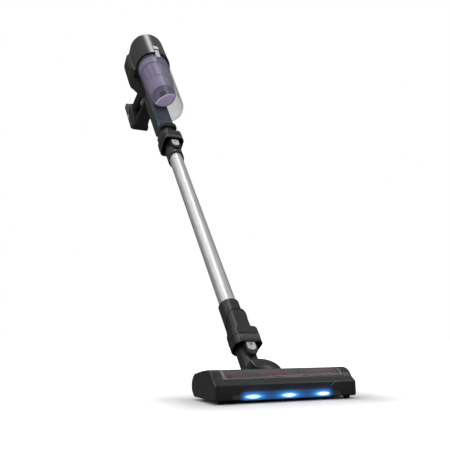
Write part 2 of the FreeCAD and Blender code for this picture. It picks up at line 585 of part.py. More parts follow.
def build_housing():
    shell = housing_solid(0.0).cut(housing_solid(WALL))
    inlet = rod(30.0, HOUSING_FROM - 1, HOUSING_FROM + WALL + 1, CUP_Y)
    tab_notch = box(-7.0, 7.0, -110, -94.0, HOUSING_FROM - 1, 1054.5)
    button_slot = box(-7.6, 7.6, -110, -92.0, 1056.0, 1075.0)
    shell = shell.cut(inlet).cut(tab_notch).cut(button_slot)
    vents = []
    for side in (-1, 1):
        for i in range(9):
            z = 1076.0 + 7.0 * i
            vents.append(box(side * 58 - 6, side * 58 + 6, -20.0, 4.0, z, z + 3.2))
    shell = shell.cut(vents[0].multiFuse(vents[1:]))
    save_stick("dome_cover", largest(shell.common(box(-80, 80, -130, HOUSING_SEAM, 900, 1300))))
    save_stick("rear_housing", largest(shell.common(box(-80, 80, HOUSING_SEAM, 80, 900, 1300))))
    save_stick("container_button", box(-7.2, 7.2, -101.5, -93.0, 1056.6, 1074.4))
    motor = fuse(rod(24.0, 1078.0, 1130.0, HOUSING_Y), rod(9.0, 1130.0, 1136.0, HOUSING_Y))
    motor = motor.cut(rod(2.6, 1070.0, 1110.0, HOUSING_Y))
    save_stick("suction_motor", motor)
    mount = ring(46.4, 24.0, 1106.0, 1114.0, HOUSING_Y)
    save_stick("motor_mount", mount.common(box(-60, 60, -120, 0, 1100, 1140)))
    save_stick("exhaust_filter", ring(38.0, 24.4, 1115.0, 1131.0, HOUSING_Y))
    shroud = ring(33.0, 30.0, 1052.0, 1077.6, HOUSING_Y).fuse(ring(33.0, 24.6, 1076.0, 1079.0, HOUSING_Y))
    save_stick("fan_shroud", shroud)
    save_stick("control_board", box(-32, 32, 8.0, 9.6, 1075.0, 1138.0))


def build_fan():
    disc = rod(28.5, 1071.0, 1073.5, HOUSING_Y)
    hub = rod(6.0, 1057.0, 1073.5, HOUSING_Y)
    shaft = rod(2.5, 1055.0, 1108.0, HOUSING_Y)
    blades = []
    for i in range(9):
        blade = box(5.0, 28.0, -0.7, 0.7, 1059.0, 1072.0)
        blade.rotate(V(0, 0, 0), V(0, 0, 1), 40.0 * i)
        blade.translate(V(0, HOUSING_Y, 0))
        blades.append(blade)
    save_stick("suction_fan", fuse(disc, hub, shaft, *blades))


def bar(y0, z0, y1, z1, half_w, half_d, corner):
    """Straight bar with a rounded section between two points of the side view."""
    run = V(0, y1 - y0, z1 - z0)
    length = run.Length
    section = prism(half_w, -half_d, half_d, corner, corner, 0, length)
    return along(section, run, V(0, y0, z0))


def build_handle():
    far = bar(*GRIP_LINE, GRIP_HALF_W, 15.0, 13.0)
    near = bar(12.0, 970.0, 122.0, 1009.0, GRIP_HALF_W, 6.0, 4.0)
    base = box(-22, 22, 110.0, FOOT_Y, BASE_FROM, BASE_TO)
    base = base.makeFillet(5.0, [e for e in base.Edges if e.BoundBox.YLength > 10])
    outside = box(-60, 60, SPINE_BACK, FOOT_Y, 900, 1300)
    rear_cut = lean_free_housing()
    frame = fuse(far, near, base).common(outside).cut(rear_cut)
    wire_way = bar(*GRIP_LINE, GRIP_HALF_W - 3.5, 11.0, 8.0)
    well = box(-19.4, 19.4, 113.0, FOOT_Y + 1, BASE_FROM + 3.0, BASE_TO - 3.0)
    frame = frame.cut(wire_way).cut(well)
    frame = frame.cut(trigger_solid(FIT, 3.0))
    save_stick("handle_frame", largest(frame))
    pad = bar(44.0, 1053.0, 104.0, 1076.3, GRIP_HALF_W + 1.2, 16.2, 14.0)
    pad = pad.cut(bar(*GRIP_LINE, GRIP_HALF_W, 15.0, 13.0))
    behind = bar(14.0, 1057.3, 122.0, 1099.3, 60.0, 16.0, 1.0)
    save_stick("grip_pad", largest(pad.common(behind)))
    save_stick("trigger", trigger_solid(0.0, 0.0))


def lean_free_housing():
    """The space that the housing and the shoulders fill, to trim the handle against."""
    body = housing_solid(0.0)
    return body.fuse(shoulder_block(-3.0, SPINE_BACK, LEDGE_TO, HOUSING_FROM))


def trigger_solid(grow, deeper):
    """Finger trigger on the inner side of the grip, under the index finger."""
    run = V(0, 108.0, 42.0)
    blade = box(-6.5 - grow, 6.5 + grow, -6.5 - grow, 8.0 + deeper, -1.0 - grow, 25.0 + grow)
    return along(blade, run, V(0, TRIGGER_AT[0], TRIGGER_AT[1]))


def build_battery():
    foot = box(-27, 27, FOOT_Y + 0.2, FOOT_BACK, FOOT_FROM, FOOT_TO)
    foot = foot.makeFillet(9.0, [e for e in foot.Edges if e.BoundBox.YLength > 5])
    block = box(-18.8, 18.8, 115.0, FOOT_Y + 1, BASE_FROM + 3.6, BASE_TO - 3.6)
    jack = rod(4.6, FOOT_TO - 12.0, FOOT_TO + 1, 135.4)
    latch = box(-27.5, -20.8, 131.0, 138.0, 1058.0, 1078.0)
    save_stick("battery_pack", fuse(foot, block).cut(jack).cut(latch))
    socket = rod(4.6, FOOT_TO - 12.0, FOOT_TO - 0.1, 135.4)
    save_stick("charging_socket", socket.cut(rod(2.85, FOOT_TO - 9.6, FOOT_TO + 1, 135.4)))
    save_stick("battery_latch", box(-27.8, -23.2, 131.4, 137.6, 1058.4, 1077.6))


# ---- dust container and cyclone ------------------------------------------------------------------
def build_container():
    outer = cone(CUP_R_BOTTOM, CUP_R_TOP, CUP_BOTTOM, CUP_TOP, CUP_Y)
    outer = outer.makeFillet(9.0, edges_at(outer, CUP_BOTTOM))
    inner = cone(CUP_R_BOTTOM - 1.8, CUP_R_TOP - 1.8, CUP_BOTTOM + 1.8, CUP_TOP + 0.05, CUP_Y)
    inner = inner.makeFillet(7.2, edges_at(inner, CUP_BOTTOM + 1.8))
    inlet = box(-11.0, 11.0, -20.0, 5.0, 966.0, 989.0)
    hook = rod_x(HINGE_R, -8.0, 8.0, HINGE_Y, HINGE_Z)
    hook = hook.fuse(box(-8.0, 8.0, HINGE_Y - 8.0, HINGE_Y, HINGE_Z - 0.8, HINGE_Z + 12.0))
    save_stick("dust_cup", outer.fuse(hook).cut(inner).cut(inlet))
    cap = ring(41.6, 39.4, 1001.0, 1030.0, CUP_Y).fuse(ring(41.6, 20.6, 999.0, 1001.5, CUP_Y))
    ribs = []
    for i in range(48):
        rib = box(41.0, 42.4, -0.6, 0.6, 1003.0, 1029.0)
        rib.rotate(V(0, 0, 0), V(0, 0, 1), 7.5 * i)
        rib.translate(V(0, CUP_Y, 0))
        ribs.append(rib)
    save_stick("cyclone_cap", cap.multiFuse(ribs).removeSplitter())
    shroud = ring(38.4, 36.8, 930.0, 998.8, CUP_Y).fuse(ring(38.4, 20.6, 928.0, 930.2, CUP_Y))
    slots = []
    for i in range(16):
        slot = box(30.0, 45.0, -1.5, 1.5, 938.0, 990.0)
        slot.rotate(V(0, 0, 0), V(0, 0, 1), 22.5 * i + 11.25)
        slot.translate(V(0, CUP_Y, 0))
        slots.append(slot)
    save_stick("cyclone_shroud", shroud.cut(slots[0].multiFuse(slots[1:])))
    save_stick("mesh_screen", ring(36.6, 36.0, 931.0, 998.0, CUP_Y))
    save_stick("vortex_finder", ring(20.4, 18.6, 926.0, 1012.0, CUP_Y))
    skirt = cone(33.0, 37.6, 876.0, 927.8, CUP_Y).cut(cone(31.4, 36.0, 875.9, 927.9, CUP_Y))
    funnel = cone(12.0, 33.0, 884.0, 922.0, CUP_Y).cut(cone(10.4, 31.6, 883.9, 922.1, CUP_Y))
    skirt = fuse(skirt, ring(36.4, 30.5, 920.0, 922.6, CUP_Y), funnel)
    save_stick("cyclone_skirt", skirt)
    save_stick("pre_filter", ring(39.0, 21.0, 1004.0, 1024.0, CUP_Y))
    disc = ring(39.2, 12.0, 1024.4, 1028.0, CUP_Y)
    save_stick("filter_frame", disc.fuse(ring(16.0, 12.0, 1018.0, 1028.0, CUP_Y)))
    save_stick("container_seal", ring(43.4, 38.0, 1030.2, 1036.6, CUP_Y))
    tab = box(-5.6, 5.6, -99.4, -90.0, 1012.0, 1053.0)
    tab = tab.makeFillet(3.0, [e for e in tab.Edges if e.BoundBox.YLength > 5])
    behind = box(-20, 20, -96.4, -80, 1036.0, 1070.0)
    save_stick("latch_tab", largest(tab.cut(rod(CUP_R_TOP + 0.05, 1000.0, 1036.6, CUP_Y)).cut(behind)))


build_head()
build_wheels()
build_brush()
build_brush_drive()
build_yoke()
build_neck()
build_wand()
build_nozzle()
build_spine()
build_housing()
build_fan()
build_handle()
build_battery()
build_container()
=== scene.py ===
import math
import random
import bmesh
import bpy
from mathutils import Matrix, Vector


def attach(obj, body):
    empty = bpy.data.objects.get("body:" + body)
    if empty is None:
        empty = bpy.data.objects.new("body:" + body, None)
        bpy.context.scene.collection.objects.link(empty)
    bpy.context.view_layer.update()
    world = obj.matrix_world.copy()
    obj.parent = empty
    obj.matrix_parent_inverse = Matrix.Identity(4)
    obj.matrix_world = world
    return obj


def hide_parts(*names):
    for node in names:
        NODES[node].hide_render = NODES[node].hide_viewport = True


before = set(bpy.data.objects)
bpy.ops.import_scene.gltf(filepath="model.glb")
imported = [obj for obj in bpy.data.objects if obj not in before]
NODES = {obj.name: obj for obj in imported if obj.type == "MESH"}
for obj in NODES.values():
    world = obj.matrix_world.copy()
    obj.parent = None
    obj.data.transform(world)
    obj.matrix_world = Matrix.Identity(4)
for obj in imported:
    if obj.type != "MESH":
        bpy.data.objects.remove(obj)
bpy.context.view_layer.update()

random.seed(7)
scene = bpy.context.scene

# ---- the stick's own frame: x, n towards the user's side, d up along the stick -----------------
LEAN = math.radians(40.2)
STICK_BASE = Vector((0.0, 0.0596, 0.0340))
AXIS_N = Vector((0.0, math.cos(LEAN), -math.sin(LEAN)))
AXIS_D = Vector((0.0, math.sin(LEAN), math.cos(LEAN)))
STICK = Matrix.Translation(STICK_BASE) @ Matrix((
    (1, AXIS_N.x, AXIS_D.x, 0),
    (0, AXIS_N.y, AXIS_D.y, 0),
    (0, AXIS_N.z, AXIS_D.z, 0),
    (0, 0, 0, 1),
))
MM = 0.001

# ---- sizes that the looks share with the model, in metres ---------------------------------------
CUP_AXIS_DEPTH = 0.050                   # dust container's axis, in front of the stick's
CHANNEL_R = (0.0474, 0.0480)             # container's seat in the spine, and just outside it
SKIRT_FOOT = 0.876                       # mouth of the cyclone's cone, along the stick
SKIRT_MID_R = 0.0322                     # middle of the cone's wall at its mouth
SKIRT_TAPER = 0.0888                     # gain in radius per metre along the stick
WALL_BLEND = 0.0003                      # half width of the change from the outside to the inside
LAMPS_X = (-0.062, 0.0, 0.062)
LAMP_Z = 0.0104
LAMP_STRIP = (-0.002, 0.074, 0.084)      # middle, half length, half length where the glow ends
FRONT_FACE_Y = (-0.0640, -0.0600)        # front face of the head, and just behind it


def on_stick(x, n, s):
    """Point of the stick frame, given in millimetres, in the row frame in metres."""
    return STICK @ Vector((x * MM, n * MM, s * MM))


# ---- node helpers -------------------------------------------------------------------------------
class Nodes:
    """Small wrapper that builds one material's node tree."""

    def __init__(self, name):
        self.mat = bpy.data.materials.new(name)
        self.mat.use_nodes = True
        self.tree = self.mat.node_tree
        self.bsdf = self.tree.nodes["Principled BSDF"]
        self.out = self.tree.nodes["Material Output"]
        self.coord = self.tree.nodes.new("ShaderNodeTexCoord").outputs["Object"]

    def add(self, kind, **values):
        node = self.tree.nodes.new(kind)
        for key, value in values.items():
            setattr(node, key, value)
        return node

    def link(self, a, b):
        self.tree.links.new(a, b)

    def math(self, operation, a, b=0.0):
        node = self.add("ShaderNodeMath", operation=operation)
        for index, value in enumerate((a, b)):
            if isinstance(value, (int, float)):
                node.inputs[index].default_value = value
            else:
                self.link(value, node.inputs[index])
        return node.outputs[0]

    def noise(self, scale, detail=4.0, roughness=0.5, vector=None):
        node = self.add("ShaderNodeTexNoise")
        node.inputs["Scale"].default_value = scale
        node.inputs["Detail"].default_value = detail
        node.inputs["Roughness"].default_value = roughness
        self.link(vector or self.coord, node.inputs["Vector"])
        return node.outputs["Fac"]

    def ramp(self, fac, stops):
        node = self.add("ShaderNodeValToRGB")
        while len(node.color_ramp.elements) < len(stops):
            node.color_ramp.elements.new(0.5)
        for element, (position, colour) in zip(node.color_ramp.elements, stops):
            element.position = position
            element.color = (*colour, 1.0)
        self.link(fac, node.inputs["Fac"])
        return node.outputs["Color"]

    def span(self, value, low, high, to_low, to_high):
        node = self.add("ShaderNodeMapRange")
        limits = {"From Min": low, "From Max": high, "To Min": to_low, "To Max": to_high}
        for key, number in limits.items():
            node.inputs[key].default_value = number
        self.link(value, node.inputs["Value"])
        return node.outputs["Result"]

    def bump(self, height, strength, distance):
        node = self.add("ShaderNodeBump")
        node.inputs["Strength"].default_value = strength
        node.inputs["Distance"].default_value = distance
        self.link(height, node.inputs["Height"])
        self.link(node.outputs["Normal"], self.bsdf.inputs["Normal"])

    def base(self, colour):
        self.link(colour, self.bsdf.inputs["Base Color"])

    def rough(self, value):
        self.link(value, self.bsdf.inputs["Roughness"])

    def cloud(self, scale, detail, rgb, dark, light):
        """Base colour that drifts between two tones of rgb."""
        stops = [(0.3, tone(rgb, dark)), (0.7, tone(rgb, light))]
        self.base(self.ramp(self.noise(scale, detail), stops))

    def worn(self, scale, detail, smooth, dull):
        """Roughness that drifts between smooth and dull."""
        self.rough(self.span(self.noise(scale, detail), 0.3, 0.7, smooth, dull))

    def put(self, **values):
        for key, value in values.items():
            self.bsdf.inputs[key.replace("_", " ")].default_value = value


def tone(rgb, factor):
    return tuple(min(1.0, c * factor) for c in rgb)


def plastic(name, rgb, rough=(0.3, 0.42), grain=900.0, bump=0.12, spec=0.5, coat=0.0):
    """Moulded plastic: fine spark-eroded grain, faint handling wear and cloudy tone."""
    n = Nodes(name)
    n.cloud(14.0, 3.0, rgb, 0.9, 1.1)
    n.worn(55.0, 5.0, *rough)
    n.bump(n.noise(grain, 2.0), bump, 0.00012)
    n.put(Specular_IOR_Level=spec, Coat_Weight=coat, Coat_Roughness=0.06)
    return n.mat


def clear_plastic(name, rgb, facing, grazing, shine, bump, rough):
    """See-through plastic skin: clearer face on, denser and brighter at grazing angles."""
    n = Nodes(name)
    weight = n.add("ShaderNodeLayerWeight")
    weight.inputs["Blend"].default_value = 0.35
    haze = n.span(n.noise(40.0, 4.0), 0.3, 0.7, -0.02, 0.03)
    side_on = n.math("POWER", weight.outputs["Facing"], 1.8)
    density = n.span(side_on, 0.0, 1.0, facing, grazing)
    n.link(n.math("ADD", density, haze), n.bsdf.inputs["Alpha"])
    n.cloud(18.0, 3.0, rgb, 0.95, 1.05)
    n.worn(70.0, 4.0, rough, rough + 0.05)
    n.bump(n.noise(60.0, 2.0), bump, 0.0002)
    n.put(Specular_IOR_Level=shine)
    return n.mat


def metal(name, rgb):
    """Bare metal with a fine machined grain."""
    n = Nodes(name)
    grain = n.noise(900.0, 3.0)
    n.base(n.ramp(grain, [(0.3, tone(rgb, 0.94)), (0.7, tone(rgb, 1.04))]))
    n.worn(40.0, 4.0, 0.22, 0.34)
    n.bump(grain, 0.08, 0.00005)
    n.put(Metallic=1.0)
    return n.mat


def rubber(name, rgb):
    """Soft black rubber, dull and slightly dusty."""
    n = Nodes(name)
    n.cloud(60.0, 5.0, rgb, 0.8, 1.3)
    n.worn(120.0, 4.0, 0.62, 0.85)
    n.bump(n.noise(1500.0, 3.0), 0.3, 0.0002)
    return n.mat


def fibre(name, rgb, scale=1400.0):
    """Felt, filter fleece and bristles: broken tone and a soft sheen."""
    n = Nodes(name)
    n.cloud(scale, 3.0, rgb, 0.6, 1.25)
    n.worn(90.0, 3.0, 0.7, 0.95)
    n.bump(n.noise(scale * 1.3, 4.0), 0.5, 0.0004)
    n.put(Sheen_Weight=0.3)
    return n.mat


def painted_glow_plastic(name, rgb, glow):
    """Translucent plastic kept bright by painted glow, standing in for the light that comes through
    it.
    """
    n = Nodes(name)
    colour = n.ramp(n.noise(20.0, 3.0), [(0.3, tone(rgb, 0.9)), (0.7, tone(rgb, 1.1))])
    n.base(colour)
    n.worn(55.0, 4.0, 0.35, 0.45)
    n.bump(n.noise(700.0, 2.0), 0.05, 0.0001)
    n.link(colour, n.bsdf.inputs["Emission Color"])
    n.put(Emission_Strength=glow)
    return n.mat


def tube_material():
    """Drawn aluminium: long fine grain along the tube, soft anodised sheen."""
    n = Nodes("tube_aluminium")
    mapping = n.add("ShaderNodeMapping")
    mapping.inputs["Rotation"].default_value = (LEAN, 0.0, 0.0)
    mapping.inputs["Scale"].default_value = (1.0, 1.0, 0.02)
    n.link(n.coord, mapping.inputs["Vector"])
    grain = n.noise(700.0, 2.0, vector=mapping.outputs["Vector"])
    n.base(n.ramp(grain, [(0.3, (0.72, 0.723, 0.728)), (0.7, (0.80, 0.802, 0.806))]))
    n.worn(30.0, 4.0, 0.36, 0.42)
    n.bump(grain, 0.015, 0.00002)
    n.put(Metallic=0.65)
    return n.mat


def cup_axis(n):
    """Distance from the dust container's axis and height along the stick, in metres."""
    mapping = n.add("ShaderNodeMapping", vector_type="TEXTURE")
    mapping.inputs["Location"].default_value = STICK_BASE
    mapping.inputs["Rotation"].default_value = (-LEAN, 0.0, 0.0)
    n.link(n.coord, mapping.inputs["Vector"])
    parts = n.add("ShaderNodeSeparateXYZ")
    n.link(mapping.outputs["Vector"], parts.inputs[0])
    depth = n.math("ADD", parts.outputs["Y"], CUP_AXIS_DEPTH)
    across = n.math("MULTIPLY", parts.outputs["X"], parts.outputs["X"])
    radius = n.math("SQRT", n.math("ADD", across, n.math("MULTIPLY", depth, depth)))
    return radius, parts.outputs["Z"]


def spine_material():
    """Charcoal back with a blue-grey channel wall where the dust container lies against it."""
    n = Nodes("spine_charcoal")
    radius, _ = cup_axis(n)
    wall = n.span(radius, *CHANNEL_R, 1.0, 0.0)
    cloud = n.noise(14.0, 3.0)
    shell = n.ramp(cloud, [(0.3, (0.018, 0.019, 0.019)), (0.7, (0.022, 0.023, 0.023))])
    channel = n.ramp(cloud, [(0.3, (0.100, 0.135, 0.195)), (0.7, (0.120, 0.158, 0.220))])
    mix = n.add("ShaderNodeMix", data_type="RGBA")
    factor, first, second = mix.inputs[0], mix.inputs[6], mix.inputs[7]
    n.link(wall, factor)
    n.link(shell, first)
    n.link(channel, second)
    n.base(mix.outputs[2])
    n.worn(55.0, 5.0, 0.3, 0.4)
    n.bump(n.noise(900.0, 2.0), 0.12, 0.00012)
    return n.mat


def skirt_material():
    """Translucent violet whose cone inside glows: painted light standing in for light that comes
    through the wall.
    """
    n = Nodes("skirt_violet")
    cloud = n.noise(20.0, 3.0)
    n.base(n.ramp(cloud, [(0.3, (0.36, 0.29, 0.47)), (0.7, (0.41, 0.33, 0.53))]))
    n.worn(55.0, 4.0, 0.35, 0.45)
    n.bump(n.noise(700.0, 2.0), 0.05, 0.0001)
    radius, height = cup_axis(n)
    rise = n.math("MULTIPLY", n.math("SUBTRACT", height, SKIRT_FOOT), SKIRT_TAPER)
    wall = n.math("ADD", rise, SKIRT_MID_R)
    inside = n.span(n.math("SUBTRACT", radius, wall), -WALL_BLEND, WALL_BLEND, 1.0, 0.0)
    # painted light: the inside of the cone glows violet in place of light through the wall
    glow = n.ramp(cloud, [(0.3, (0.28, 0.24, 0.35)), (0.7, (0.31, 0.265, 0.38))])
    n.link(glow, n.bsdf.inputs["Emission Color"])
    n.link(n.math("MULTIPLY", inside, 0.14), n.bsdf.inputs["Emission Strength"])
    n.put(Specular_IOR_Level=0.22)
    return n.mat


def lamp_glow(n, half_w, half_h, pointed=False):
    """Sum of soft bell curves round the three lamps; a pointed one has the outline of a lens."""
    parts = n.add("ShaderNodeSeparateXYZ")
    n.link(n.coord, parts.inputs[0])
    up = n.math("DIVIDE", n.math("SUBTRACT", parts.outputs["Z"], LAMP_Z), half_h)
    height = n.math("ABSOLUTE", up) if pointed else n.math("MULTIPLY", up, up)
    total = 0.0
    for x in LAMPS_X:
        side = n.math("DIVIDE", n.math("SUBTRACT", parts.outputs["X"], x), half_w)
        power = n.math("ADD", n.math("MULTIPLY", side, side), height)
        bell = n.math("POWER", math.e, n.math("MULTIPLY", power, -1.0))
        total = n.math("ADD", bell, total)
    middle, full, end = LAMP_STRIP
    along = n.math("ABSOLUTE", n.math("SUBTRACT", parts.outputs["X"], middle))
    glow = n.math("MULTIPLY", total, n.span(along, full, end, 1.0, 0.0))
    return glow, parts.outputs["Y"]


def lens_material():
    """Lamp strip: white cores that fall off through light blue to deep blue."""
    n = Nodes("lamp_lens")
    core, _ = lamp_glow(n, 0.0175, 0.0048, pointed=True)
    halo, _ = lamp_glow(n, 0.026, 0.009)
    deep_blue, light_blue, white = (0.0, 0.14, 0.55), (0.05, 0.36, 0.95), (1.0, 1.0, 1.0)
    colour = n.ramp(core, [(0.02, deep_blue), (0.50, light_blue), (0.82, white)])
    n.link(colour, n.bsdf.inputs["Emission Color"])
    bright = n.math("MULTIPLY", n.math("POWER", core, 2.0), 2.0)
    strength = n.math("ADD", bright, n.math("MULTIPLY", halo, 0.8))
    n.link(strength, n.bsdf.inputs["Emission Strength"])
    n.base(n.ramp(n.noise(60.0, 3.0), [(0.3, (0.05, 0.065, 0.085)), (0.7, (0.065, 0.08, 0.10))]))
    n.worn(90.0, 3.0, 0.1, 0.18)
    n.bump(n.noise(300.0, 2.0), 0.05, 0.0002)
    return n.mat


def head_material(name, rgb, painted_spill):
    """Head plastic with a painted pool of the lamps' blue light over the front face."""
    n = Nodes(name)
    n.cloud(14.0, 3.0, rgb, 0.9, 1.1)
    n.worn(55.0, 5.0, 0.28, 0.38)
    n.bump(n.noise(900.0, 2.0), 0.12, 0.00012)
    # painted light: blue glow on the front face round the lamps
    halo, depth = lamp_glow(n, 0.028, 0.0088)
    front = n.span(depth, *FRONT_FACE_Y, 1.0, 0.0)
    strength = n.math("MULTIPLY", n.math("MULTIPLY", halo, front), painted_spill)
    n.link(strength, n.bsdf.inputs["Emission Strength"])
    colour = n.ramp(halo, [(0.0, (0.02, 0.10, 0.35)), (1.0, (0.10, 0.38, 0.95))])
    n.link(colour, n.bsdf.inputs["Emission Color"])
    return n.mat


MAT = {
    "charcoal": plastic("charcoal_shell", (0.025, 0.026, 0.026), (0.3, 0.4)),
    "collar": plastic("charcoal_collar", (0.026, 0.027, 0.027), (0.28, 0.36), bump=0.08),
    "dome": plastic(
        "gloss_dome", (0.016, 0.017, 0.017), (0.27, 0.31), grain=500.0, bump=0.01, coat=0.15
    ),
    "head": plastic("head_grey", (0.022, 0.023, 0.023), (0.3, 0.4)),
    "inner": plastic("inner_dark", (0.012, 0.012, 0.013), (0.45, 0.6)),
    "silver": plastic(
        "button_silver", (0.66, 0.67, 0.68), (0.25, 0.33), grain=1200.0, bump=0.05, spec=0.6, coat=0.2
    ),
    "violet": plastic(
        "cyclone_violet", (0.38, 0.31, 0.515), (0.35, 0.45), grain=700.0, bump=0.04, spec=0.22
    ),
    "mesh": plastic(
        "mesh_violet", (0.255, 0.195, 0.375), (0.4, 0.5), grain=1500.0, bump=0.3, spec=0.2
    ),
    "deep": plastic("deep_violet", (0.10, 0.08, 0.14), (0.4, 0.5), bump=0.05, spec=0.2),
    "bright": plastic(
        "button_bright", (0.84, 0.85, 0.86), (0.22, 0.3), grain=1200.0, bump=0.04, spec=0.7, coat=0.3
    ),
    "lilac": plastic(
        "latch_lilac", (0.70, 0.68, 0.82), (0.25, 0.35), grain=1200.0, bump=0.05, spec=0.6, coat=0.2
    ),
    "line": plastic("seam_and_recess_shade", (0.003, 0.003, 0.003), (0.6, 0.7), bump=0.05, spec=0.1),
    # light colour for painted highlights along edges
    "edge": plastic("edge_painted_highlight", (0.30, 0.30, 0.31), (0.3, 0.4), bump=0.05),
    "rib": plastic("rib_light", (0.24, 0.243, 0.248), (0.3, 0.4), bump=0.05),
    "cup_edge_highlight": plastic("cup_edge_highlight", (0.32, 0.35, 0.40), (0.3, 0.4), bump=0.05),
    "panel": plastic("panel_edge", (0.075, 0.077, 0.08), (0.3, 0.4), bump=0.05),
    "frame": plastic("window_frame", (0.17, 0.175, 0.185), (0.25, 0.35), bump=0.05),
    "steel": metal("steel", (0.62, 0.63, 0.64)),
    "gold": metal("contact_gold", (0.83, 0.66, 0.3)),
    "can": metal("motor_can", (0.42, 0.43, 0.45)),
    "rubber": rubber("soft_black", (0.012, 0.012, 0.013)),
    "filter": fibre("filter_white", (0.8, 0.8, 0.76), scale=600.0),
    "foam": fibre("filter_foam", (0.05, 0.05, 0.055), scale=700.0),
    "felt": fibre("sole_felt", (0.42, 0.03, 0.04)),
    "bristle_red": fibre("bristle_red", (1.0, 0.16, 0.12)),
    "bristle_dark": fibre("bristle_dark", (0.16, 0.16, 0.17)),
    "board": plastic("board_green", (0.02, 0.16, 0.06), (0.35, 0.5)),
    "cup": clear_plastic(
        "cup_clear", (0.19, 0.20, 0.235), facing=0.10, grazing=0.60, shine=0.15, bump=0.02, rough=0.15
    ),
    "window": clear_plastic(
        "window_smoke", (0.20, 0.205, 0.22), facing=0.20, grazing=0.72, shine=0.7, bump=0.0, rough=0.04
    ),
    # painted glow on the lip's plate, and a painted highlight along its edge
    "lip": painted_glow_plastic("lip_violet_painted_glow", (0.46, 0.39, 0.58), glow=0.38),
    "lip_highlight_edge": painted_glow_plastic("lip_highlight_edge", (0.80, 0.77, 0.88), glow=0.75),
    "tube": tube_material(),
    "skirt": skirt_material(),
    "spine": spine_material(),
    "lens": lens_material(),
    # base and cover carry the painted blue lamp light on the front face
    "base": head_material("base_charcoal", (0.024, 0.025, 0.026), painted_spill=0.75),
    "cover": head_material("cover_grey", (0.030, 0.031, 0.032), painted_spill=0.25),
}

# ---- looks of the CAD nodes ------------------------------------------------------------------------
LOOKS = {
    "spine": "air_spine",
    "charcoal": "battery_pack handle_frame nozzle rear_housing",
    "collar": "neck_tube wand_hood wand_lower_collar wand_upper_collar tilt_barrel",
    "dome": "dome_cover",
    "head": "end_cap_left end_cap_right",
    "cover": "head_cover",
    "base": "head_base",
    "lens": "led_lens",
    "silver": "battery_latch neck_button trigger wand_button",
    "bright": "container_button",
    "lilac": "latch_tab",
    "mesh": "mesh_screen",
    "skirt": "cyclone_skirt",
    "violet": "cyclone_cap cyclone_shroud filter_frame",
    "cup": "dust_cup",
    "window": "brush_window",
    "tube": "wand_tube",
    "steel": "brush_bearings motor_pulley sole_screws wheel_axles",
    "gold": "neck_contacts wand_contacts",
    "can": "brush_motor suction_motor",
    "rubber": "charging_socket container_seal drive_belt grip_pad joint_hose motor_mount"
              " front_wheel_left front_wheel_right rear_wheel_left rear_wheel_right",
    "deep": "vortex_finder",
    "inner": "brush_core fan_shroud suction_fan wand_conduit",
    "filter": "pre_filter",
    "foam": "exhaust_filter",
    "felt": "sole_felt",
    "bristle_red": "bristles_red",
    "bristle_dark": "bristles_dark",
    "board": "control_board led_board",
}

# bevel width of each rounded node, in millimetres
SOFT_EDGE = {
    1.0: "air_spine battery_pack",
    0.9: "container_button",
    0.8: "dome_cover handle_frame rear_housing tilt_barrel trigger",
    0.7: "neck_button nozzle wand_button wand_hood",
    0.6: "battery_latch head_cover latch_tab neck_tube wand_lower_collar wand_upper_collar",
    0.5: "head_base",
    0.4: "brush_window grip_pad",
}

# edges whose faces meet at more than these angles, in degrees, stay sharp or are bevelled
SHARP_ABOVE = 32.0
BEVEL_ABOVE = 38.0

for look, names in LOOKS.items():
    for name in names.split():
        node = NODES[name]
        node.data.materials.clear()
        node.data.materials.append(MAT[look])


def smooth_by_angle(obj, degrees):
    """Smooth shading that keeps the real edges sharp."""
    mesh = obj.data
    mesh.polygons.foreach_set("use_smooth", [True] * len(mesh.polygons))
    bm = bmesh.new()
    bm.from_mesh(mesh)
    sharp = []
    limit = math.radians(degrees)
    for edge in bm.edges:
        faces = edge.link_faces
        sharp.append(len(faces) != 2 or faces[0].normal.angle(faces[1].normal, 0.0) > limit)
    bm.free()
    attribute = mesh.attributes.get("sharp_edge")
    if attribute is None:
        attribute = mesh.attributes.new("sharp_edge", "BOOLEAN", "EDGE")
    attribute.data.foreach_set("value", sharp)


for node in NODES.values():
    smooth_by_angle(node, SHARP_ABOVE)
for width, names in SOFT_EDGE.items():
    for name in names.split():
        bevel = NODES[name].modifiers.new("soft_edge", "BEVEL")
        bevel.width = width * MM
        bevel.segments = 3
        bevel.limit_method = "ANGLE"
        bevel.angle_limit = math.radians(BEVEL_ABOVE)
        bevel.harden_normals = True

# ---- modelled details ------------------------------------------------------------------------------


def new_mesh(name, verts, faces, material, smooth=True):
    """Object with one material, made from points in metres."""
    mesh = bpy.data.meshes.new(name)
    mesh.from_pydata([tuple(v) for v in verts], [], faces)
    mesh.polygons.foreach_set("use_smooth", [smooth] * len(mesh.polygons))
    mesh.materials.append(material)
    obj = bpy.data.objects.new(name, mesh)
    scene.collection.objects.link(obj)
    return obj


def bead(name, points, radius, material, body, closed=False):
    """Round bead swept through a list of points; its radius is in millimetres."""
    sides = 8
    count = len(points)
    verts, faces = [], []
    for i, point in enumerate(points):
        ahead = points[(i + 1) % count] if closed or i < count - 1 else point
        behind = points[i - 1] if closed or i > 0 else point
        direction = (ahead - behind).normalized()
        side = direction.orthogonal() if i == 0 else (side - direction * side.dot(direction))
        side.normalize()
        other = direction.cross(side)
        for k in range(sides):
            angle = 2.0 * math.pi * k / sides
            around = math.cos(angle) * side + math.sin(angle) * other
            verts.append(point + radius * MM * around)
    rings = count if closed else count - 1
    for i in range(rings):
        here, ahead = i * sides, ((i + 1) % count) * sides
        for k in range(sides):
            after = (k + 1) % sides
            faces.append((here + k, here + after, ahead + after, ahead + k))
    if not closed:
        faces.append(tuple(range(sides))[::-1])
        faces.append(tuple((count - 1) * sides + k for k in range(sides)))
    obj = new_mesh(name, verts, faces, material)
    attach(obj, body)


